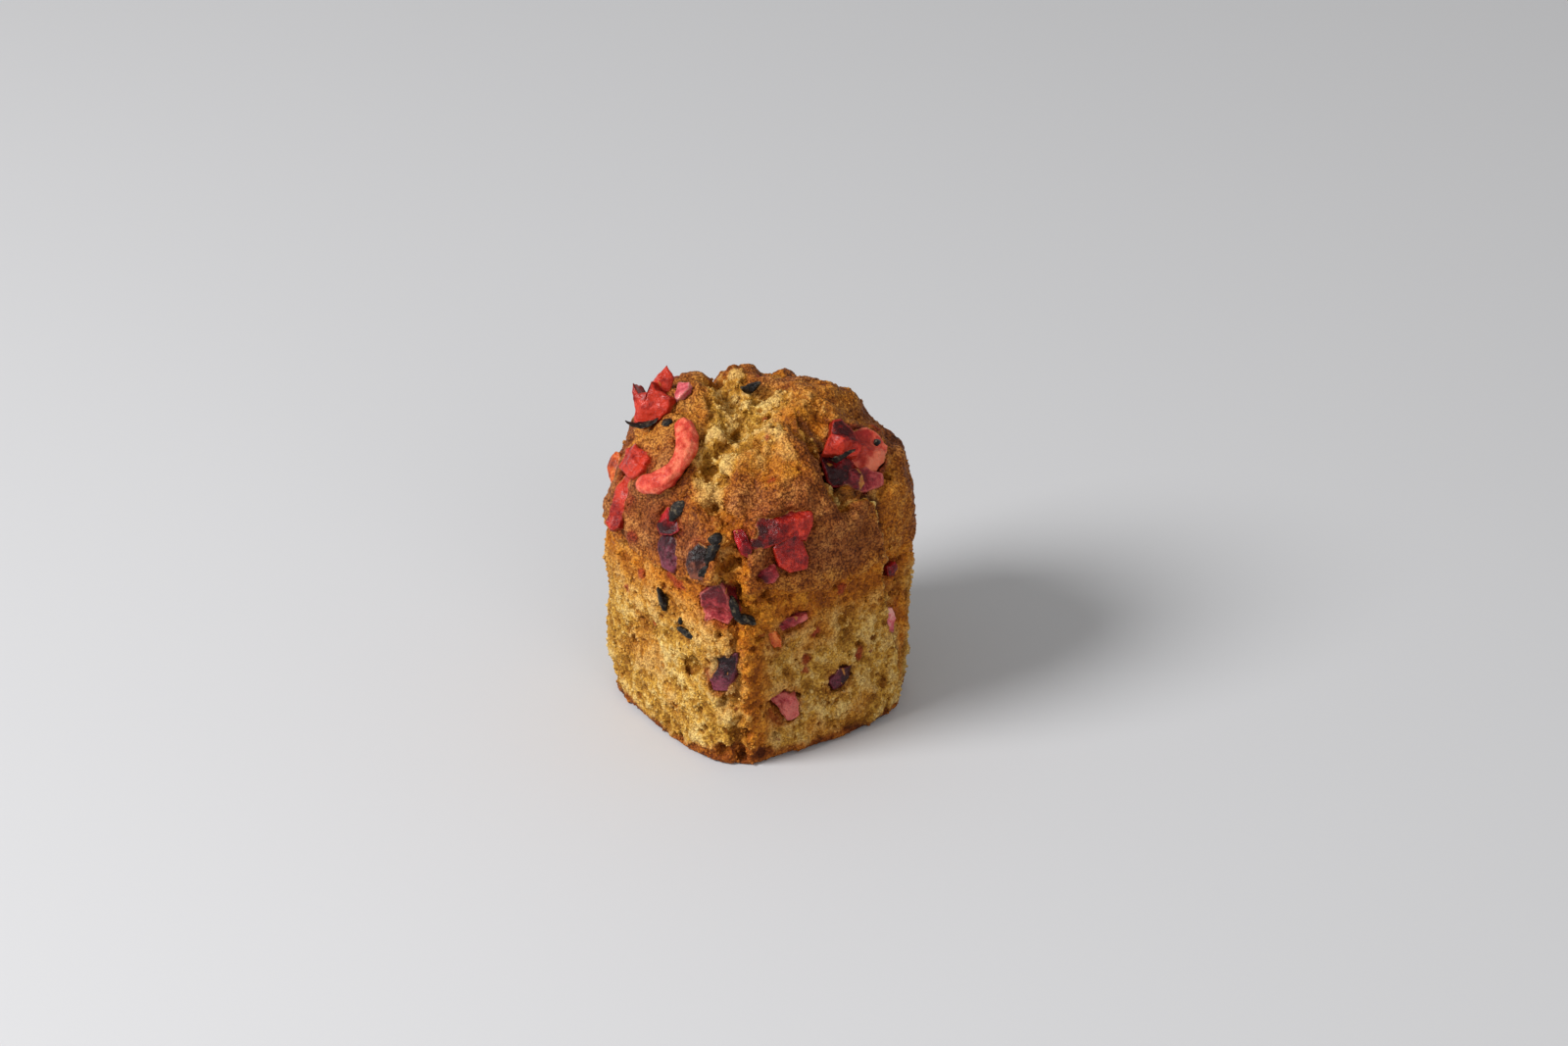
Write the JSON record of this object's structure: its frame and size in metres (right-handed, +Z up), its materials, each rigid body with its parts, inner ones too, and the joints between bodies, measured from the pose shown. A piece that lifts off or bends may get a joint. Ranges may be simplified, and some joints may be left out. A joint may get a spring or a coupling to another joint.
{
  "type": "fruit muffin",
  "caption": "Square fruit muffin with rounded corners and a cracked domed top, candied fruit and dark berries set in its crust and torn crumb sides.",
  "frame": {"origin": "centre of the flat underside", "axes": "+Z up through the dome; the four sides face along +X, -X, +Y and -Y; the corner with the deep pleat points to -X -Y"},
  "size_m": [0.0654, 0.067, 0.0808],
  "materials": {
    "crumb": "baked crumb with a browned crust, matte",
    "red_fruit": "moist candied fruit, glossy",
    "coral_fruit": "moist candied fruit, glossy",
    "orange_fruit": "moist candied fruit, glossy",
    "dark_red_fruit": "moist candied fruit, glossy",
    "magenta_fruit": "baked-in fruit, satin",
    "pink_fruit": "baked-in fruit, satin",
    "dark_berry": "baked dark berry, satin",
    "brown_berry": "baked brown berry, satin"
  },
  "bodies": {
    "root": {"body": "crumb", "topLeftChunk": "red_fruit", "topLeftFlake": "red_fruit", "topLeftBit": "pink_fruit", "hookStrip": "coral_fruit", "leftSlice": "orange_fruit", "leftCluster": "red_fruit", "leftStrip": "red_fruit", "leftGem": "dark_red_fruit", "leftPlum": "dark_berry", "leftBerry": "brown_berry", "cavityRed": "red_fruit", "cavityCoral": "coral_fruit", "cavityPlum": "dark_berry", "cavityMagenta": "magenta_fruit", "frontBar": "red_fruit", "frontSquare": "red_fruit", "frontMagenta": "magenta_fruit", "frontShard": "dark_red_fruit", "cornerRed": "magenta_fruit", "cornerPlum": "dark_berry", "lowMagenta": "magenta_fruit", "lowPlum": "dark_berry", "wallOrange": "orange_fruit", "wallBand": "magenta_fruit", "edgePink": "pink_fruit", "edgeRed": "dark_red_fruit", "backRed": "red_fruit", "backPlum": "dark_berry", "rearRed": "magenta_fruit", "rearCoral": "coral_fruit", "crestRed": "red_fruit", "crestCoral": "coral_fruit"}
  },
  "joints": []
}
